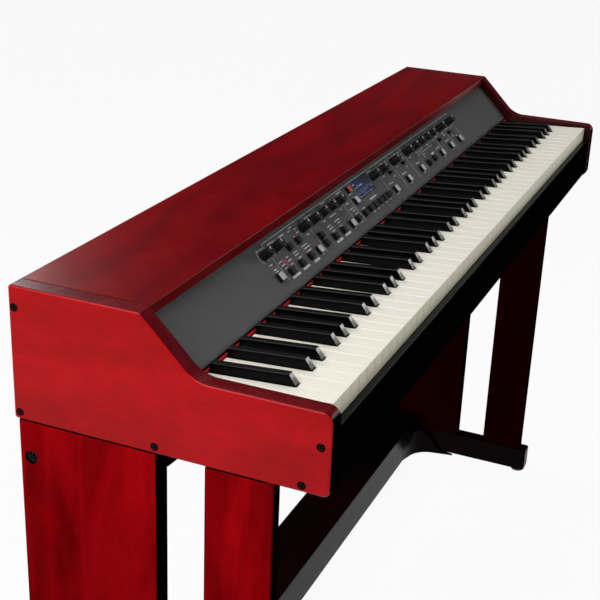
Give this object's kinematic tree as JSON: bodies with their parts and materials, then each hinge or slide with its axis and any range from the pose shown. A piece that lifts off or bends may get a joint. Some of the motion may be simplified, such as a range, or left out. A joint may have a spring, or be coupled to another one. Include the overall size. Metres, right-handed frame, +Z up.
{
  "type": "stage piano",
  "caption": "Digital stage piano on a wooden stand: weighted keyboard, sloping control panel with knobs, buttons and a display, side panels, legs, feet and a stretcher.",
  "frame": {"origin": "middle of the footprint on the floor, under the glides", "axes": "+X along the keyboard to the treble end, +Y away from the player, +Z up"},
  "size_m": [1.2796, 0.369, 0.7985],
  "materials": {
    "red_wood": "red-stained veneer under satin lacquer",
    "dark_wood": "very dark red-black stained board",
    "black_lacquer": "satin black paint on board",
    "galvanised_steel": "galvanised sheet",
    "bright_steel": "drawn bar",
    "grey_panel": "fine matte dark grey paint on sheet",
    "red_felt": "dense wool felt",
    "display_glass": "black display window",
    "circuit_board": "solder-masked board",
    "supply_case": "plain sheet case",
    "black_metal": "black powder coat",
    "glide_rubber": "moulded",
    "ivory_plastic": "satin moulded",
    "ebony_plastic": "satin moulded",
    "button_plastic": "moulded, grey and black caps",
    "knob_plastic": "soft-touch moulded"
  },
  "bodies": {
    "case": {"side_panel_left": "red_wood", "side_panel_right": "red_wood", "top_board": "red_wood", "back_panel": "dark_wood", "bottom_board": "dark_wood", "key_slip": "black_lacquer", "key_frame": "galvanised_steel", "pivot_rod": "bright_steel", "control_panel": "grey_panel", "felt_strip": "red_felt", "display": "display_glass", "main_board": "circuit_board", "power_supply": "supply_case", "jack_plate": "black_metal", "leg_front_left": "red_wood", "leg_rear_left": "red_wood", "leg_front_right": "red_wood", "leg_rear_right": "red_wood", "foot_left": "dark_wood", "foot_right": "dark_wood", "stretcher_shelf": "dark_wood", "stretcher_rail": "dark_wood", "leg_bracket_left": "black_metal", "leg_bracket_right": "black_metal", "glide_front_left": "glide_rubber", "glide_rear_left": "glide_rubber", "glide_front_right": "glide_rubber", "glide_rear_right": "glide_rubber"},
    "keys_c": {"keys_c": "ivory_plastic"},
    "keys_c_sharp": {"keys_c_sharp": "ebony_plastic"},
    "keys_d": {"keys_d": "ivory_plastic"},
    "keys_d_sharp": {"keys_d_sharp": "ebony_plastic"},
    "keys_e": {"keys_e": "ivory_plastic"},
    "keys_f": {"keys_f": "ivory_plastic"},
    "keys_f_sharp": {"keys_f_sharp": "ebony_plastic"},
    "keys_g": {"keys_g": "ivory_plastic"},
    "keys_g_sharp": {"keys_g_sharp": "ebony_plastic"},
    "keys_a": {"keys_a": "ivory_plastic"},
    "keys_a_sharp": {"keys_a_sharp": "ebony_plastic"},
    "keys_b": {"keys_b": "ivory_plastic"},
    "buttons_left": {"buttons_left": "button_plastic"},
    "buttons_middle": {"buttons_middle": "button_plastic"},
    "buttons_right": {"buttons_right": "button_plastic"},
    "knob_01": {"knob_01": "knob_plastic"},
    "knob_02": {"knob_02": "knob_plastic"},
    "knob_03": {"knob_03": "knob_plastic"},
    "knob_04": {"knob_04": "knob_plastic"},
    "knob_05": {"knob_05": "knob_plastic"},
    "knob_06": {"knob_06": "knob_plastic"},
    "knob_07": {"knob_07": "knob_plastic"},
    "knob_08": {"knob_08": "knob_plastic"},
    "knob_09": {"knob_09": "knob_plastic"},
    "knob_10": {"knob_10": "knob_plastic"},
    "knob_11": {"knob_11": "knob_plastic"},
    "knob_12": {"knob_12": "knob_plastic"},
    "knob_13": {"knob_13": "knob_plastic"},
    "knob_14": {"knob_14": "knob_plastic"},
    "knob_15": {"knob_15": "knob_plastic"},
    "knob_16": {"knob_16": "knob_plastic"},
    "knob_17": {"knob_17": "knob_plastic"}
  },
  "joints": [
    {"name": "press_keys_c", "type": "hinge", "parent": "case", "child": "keys_c", "pos_m": [0, 0.0445, 0.7143], "axis": [1, 0, 0], "range_deg": [0, 2.6], "stiffness_Nm_per_rad": 5, "springref_deg": -18.33},
    {"name": "press_keys_c_sharp", "type": "hinge", "parent": "case", "child": "keys_c_sharp", "pos_m": [0, 0.0445, 0.7143], "axis": [1, 0, 0], "range_deg": [0, 2.6], "stiffness_Nm_per_rad": 3, "springref_deg": -14.32},
    {"name": "press_keys_d", "type": "hinge", "parent": "case", "child": "keys_d", "pos_m": [0, 0.0445, 0.7143], "axis": [1, 0, 0], "range_deg": [0, 2.6], "stiffness_Nm_per_rad": 5, "springref_deg": -18.33},
    {"name": "press_keys_d_sharp", "type": "hinge", "parent": "case", "child": "keys_d_sharp", "pos_m": [0, 0.0445, 0.7143], "axis": [1, 0, 0], "range_deg": [0, 2.6], "stiffness_Nm_per_rad": 3, "springref_deg": -14.32},
    {"name": "press_keys_e", "type": "hinge", "parent": "case", "child": "keys_e", "pos_m": [0, 0.0445, 0.7143], "axis": [1, 0, 0], "range_deg": [0, 2.6], "stiffness_Nm_per_rad": 5, "springref_deg": -18.33},
    {"name": "press_keys_f", "type": "hinge", "parent": "case", "child": "keys_f", "pos_m": [0, 0.0445, 0.7143], "axis": [1, 0, 0], "range_deg": [0, 2.6], "stiffness_Nm_per_rad": 5, "springref_deg": -18.33},
    {"name": "press_keys_f_sharp", "type": "hinge", "parent": "case", "child": "keys_f_sharp", "pos_m": [0, 0.0445, 0.7143], "axis": [1, 0, 0], "range_deg": [0, 2.6], "stiffness_Nm_per_rad": 3, "springref_deg": -14.32},
    {"name": "press_keys_g", "type": "hinge", "parent": "case", "child": "keys_g", "pos_m": [0, 0.0445, 0.7143], "axis": [1, 0, 0], "range_deg": [0, 2.6], "stiffness_Nm_per_rad": 5, "springref_deg": -18.33},
    {"name": "press_keys_g_sharp", "type": "hinge", "parent": "case", "child": "keys_g_sharp", "pos_m": [0, 0.0445, 0.7143], "axis": [1, 0, 0], "range_deg": [0, 2.6], "stiffness_Nm_per_rad": 3, "springref_deg": -14.32},
    {"name": "press_keys_a", "type": "hinge", "parent": "case", "child": "keys_a", "pos_m": [0, 0.0445, 0.7143], "axis": [1, 0, 0], "range_deg": [0, 2.6], "stiffness_Nm_per_rad": 5, "springref_deg": -18.33},
    {"name": "press_keys_a_sharp", "type": "hinge", "parent": "case", "child": "keys_a_sharp", "pos_m": [0, 0.0445, 0.7143], "axis": [1, 0, 0], "range_deg": [0, 2.6], "stiffness_Nm_per_rad": 3, "springref_deg": -14.32},
    {"name": "press_keys_b", "type": "hinge", "parent": "case", "child": "keys_b", "pos_m": [0, 0.0445, 0.7143], "axis": [1, 0, 0], "range_deg": [0, 2.6], "stiffness_Nm_per_rad": 5, "springref_deg": -18.33},
    {"name": "press_buttons_left", "type": "slide", "parent": "case", "child": "buttons_left", "axis": [0, 0.7071, -0.7071], "range_m": [0, 0.001], "stiffness_N_per_m": 500, "springref_m": -0.003},
    {"name": "press_buttons_middle", "type": "slide", "parent": "case", "child": "buttons_middle", "axis": [0, 0.7071, -0.7071], "range_m": [0, 0.001], "stiffness_N_per_m": 500, "springref_m": -0.003},
    {"name": "press_buttons_right", "type": "slide", "parent": "case", "child": "buttons_right", "axis": [0, 0.7071, -0.7071], "range_m": [0, 0.001], "stiffness_N_per_m": 500, "springref_m": -0.003},
    {"name": "turn_knob_01", "type": "hinge", "parent": "case", "child": "knob_01", "pos_m": [-0.367, 0.01795, 0.76925], "axis": [0, -0.7071, 0.7071], "range_deg": [-150, 150]},
    {"name": "turn_knob_02", "type": "hinge", "parent": "case", "child": "knob_02", "pos_m": [-0.3355, 0.01795, 0.76925], "axis": [0, -0.7071, 0.7071], "range_deg": [-150, 150]},
    {"name": "turn_knob_03", "type": "hinge", "parent": "case", "child": "knob_03", "pos_m": [-0.252, 0.01795, 0.76925], "axis": [0, -0.7071, 0.7071], "range_deg": [-150, 150]},
    {"name": "turn_knob_04", "type": "hinge", "parent": "case", "child": "knob_04", "pos_m": [-0.221, 0.01795, 0.76925], "axis": [0, -0.7071, 0.7071], "range_deg": [-150, 150]},
    {"name": "turn_knob_05", "type": "hinge", "parent": "case", "child": "knob_05", "pos_m": [-0.192, 0.01795, 0.76925], "axis": [0, -0.7071, 0.7071], "range_deg": [-150, 150]},
    {"name": "turn_knob_06", "type": "hinge", "parent": "case", "child": "knob_06", "pos_m": [-0.1635, 0.01795, 0.76925], "axis": [0, -0.7071, 0.7071], "range_deg": [-150, 150]},
    {"name": "turn_knob_07", "type": "hinge", "parent": "case", "child": "knob_07", "pos_m": [-0.1345, 0.01795, 0.76925], "axis": [0, -0.7071, 0.7071], "range_deg": [-150, 150]},
    {"name": "turn_knob_08", "type": "hinge", "parent": "case", "child": "knob_08", "pos_m": [0.004, 0.01795, 0.76925], "axis": [0, -0.7071, 0.7071], "continuous": true},
    {"name": "turn_knob_09", "type": "hinge", "parent": "case", "child": "knob_09", "pos_m": [0.0375, 0.01795, 0.76925], "axis": [0, -0.7071, 0.7071], "range_deg": [-150, 150]},
    {"name": "turn_knob_10", "type": "hinge", "parent": "case", "child": "knob_10", "pos_m": [0.0905, 0.01795, 0.76925], "axis": [0, -0.7071, 0.7071], "range_deg": [-150, 150]},
    {"name": "turn_knob_11", "type": "hinge", "parent": "case", "child": "knob_11", "pos_m": [0.1515, 0.01795, 0.76925], "axis": [0, -0.7071, 0.7071], "range_deg": [-150, 150]},
    {"name": "turn_knob_12", "type": "hinge", "parent": "case", "child": "knob_12", "pos_m": [0.1815, 0.01795, 0.76925], "axis": [0, -0.7071, 0.7071], "range_deg": [-150, 150]},
    {"name": "turn_knob_13", "type": "hinge", "parent": "case", "child": "knob_13", "pos_m": [0.2105, 0.01795, 0.76925], "axis": [0, -0.7071, 0.7071], "range_deg": [-150, 150]},
    {"name": "turn_knob_14", "type": "hinge", "parent": "case", "child": "knob_14", "pos_m": [0.2395, 0.01795, 0.76925], "axis": [0, -0.7071, 0.7071], "range_deg": [-150, 150]},
    {"name": "turn_knob_15", "type": "hinge", "parent": "case", "child": "knob_15", "pos_m": [0.2685, 0.01795, 0.76925], "axis": [0, -0.7071, 0.7071], "range_deg": [-150, 150]},
    {"name": "turn_knob_16", "type": "hinge", "parent": "case", "child": "knob_16", "pos_m": [0.319, 0.01795, 0.76925], "axis": [0, -0.7071, 0.7071], "range_deg": [-150, 150]},
    {"name": "turn_knob_17", "type": "hinge", "parent": "case", "child": "knob_17", "pos_m": [0.367, 0.01795, 0.76925], "axis": [0, -0.7071, 0.7071], "range_deg": [-150, 150]}
  ]
}
